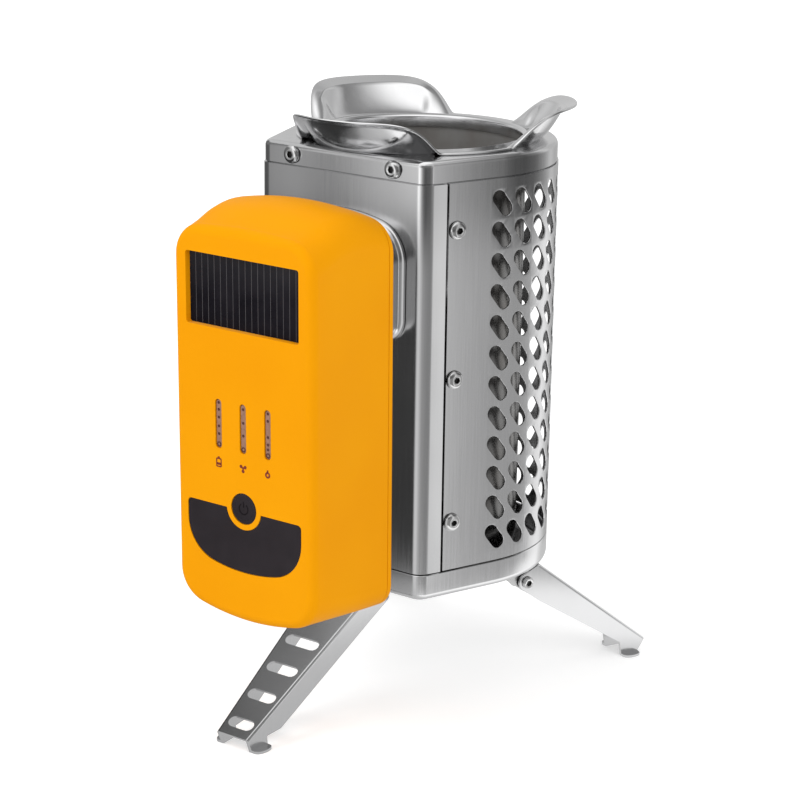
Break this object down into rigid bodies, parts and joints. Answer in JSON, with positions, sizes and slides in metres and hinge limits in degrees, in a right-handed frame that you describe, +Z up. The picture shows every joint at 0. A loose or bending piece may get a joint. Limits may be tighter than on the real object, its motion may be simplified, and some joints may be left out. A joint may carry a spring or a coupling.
{
  "type": "folding camp stove",
  "caption": "Tall twig-burning camp stove with a slotted heat guard, flared pot support, folding channel legs and a plug-in power pack with a fan.",
  "frame": {"origin": "on the floor under the deployed feet, below the middle of the whole model's box", "axes": "+Z up, -Y towards the power pack, +X to the right seen from the front"},
  "size_m": [0.1654, 0.2082, 0.2611],
  "materials": {
    "brushed_steel": "brushed stainless sheet",
    "polished_steel": "polished stainless sheet",
    "scorched_steel": "dull stainless",
    "screw_steel": "machined stainless",
    "yellow_plastic": "satin moulded",
    "charcoal_plastic": "satin moulded",
    "charcoal_rubber": "matte",
    "solar_glass": "glossy with fine lines",
    "light_pipe": "smoked clear",
    "circuit_board": "solder mask",
    "battery_wrap": "shrink wrap",
    "ceramic_tile": "matt ceramic",
    "aluminium": "extruded",
    "copper": "machined"
  },
  "bodies": {
    "stove": {"base_pan": "brushed_steel", "front_shell": "brushed_steel", "heat_mesh": "brushed_steel", "burn_chamber": "scorched_steel", "chamber_floor": "scorched_steel", "top_cap": "brushed_steel", "pot_support": "polished_steel", "docking_collar": "polished_steel", "cap_screw_1": "screw_steel", "cap_screw_2": "screw_steel", "leg_bracket_front": "brushed_steel", "leg_bracket_rear_right": "brushed_steel", "leg_bracket_rear_left": "brushed_steel", "leg_pin_front": "screw_steel", "leg_pin_rear_right": "screw_steel", "leg_pin_rear_left": "screw_steel", "mesh_screw_left_1": "screw_steel", "mesh_screw_left_2": "screw_steel", "mesh_screw_left_3": "screw_steel", "mesh_screw_right_1": "screw_steel", "mesh_screw_right_2": "screw_steel", "mesh_screw_right_3": "screw_steel"},
    "front_leg": {"leg_front": "brushed_steel"},
    "rear_right_leg": {"leg_rear_right": "brushed_steel"},
    "rear_left_leg": {"leg_rear_left": "brushed_steel"},
    "power_pack": {"pack_housing": "yellow_plastic", "pack_rear_cover": "yellow_plastic", "solar_cell": "solar_glass", "light_pipe_left": "light_pipe", "light_pipe_middle": "light_pipe", "light_pipe_right": "light_pipe", "usb_socket": "screw_steel", "circuit_board": "circuit_board", "battery_cell": "battery_wrap", "fan_frame": "charcoal_plastic", "thermoelectric_tile": "ceramic_tile", "heat_sink": "aluminium", "heat_probe": "copper"},
    "button": {"power_button": "charcoal_rubber"},
    "cover": {"port_cover": "charcoal_rubber"},
    "rotor": {"fan_rotor": "charcoal_plastic"}
  },
  "joints": [
    {"name": "front_leg_fold", "type": "hinge", "parent": "stove", "child": "front_leg", "pos_m": [0, -0.01935, 0.0479], "axis": [1, 0, 0], "range_deg": [0, 149.8]},
    {"name": "rear_right_leg_fold", "type": "hinge", "parent": "stove", "child": "rear_right_leg", "pos_m": [0.0457, 0.04015, 0.0463], "axis": [-0.9135, 0.4067, 0], "range_deg": [0, 134]},
    {"name": "rear_left_leg_fold", "type": "hinge", "parent": "stove", "child": "rear_left_leg", "pos_m": [-0.0457, 0.04015, 0.0463], "axis": [-0.9135, -0.4067, 0], "range_deg": [0, 134]},
    {"name": "power_pack_pull_off", "type": "slide", "parent": "stove", "child": "power_pack", "axis": [0, -1, 0], "range_m": [0, 0.1]},
    {"name": "power_button_press", "type": "slide", "parent": "power_pack", "child": "button", "axis": [0, 1, 0], "range_m": [0, 0.001], "stiffness_N_per_m": 800, "springref_m": -0.001},
    {"name": "port_cover_swing", "type": "hinge", "parent": "power_pack", "child": "cover", "pos_m": [0, -0.09565, 0.077], "axis": [1, 0, 0], "range_deg": [0, 110]},
    {"name": "fan_spin", "type": "hinge", "parent": "power_pack", "child": "rotor", "pos_m": [0, -0.06435, 0.1947], "axis": [0, 1, 0], "continuous": true}
  ]
}
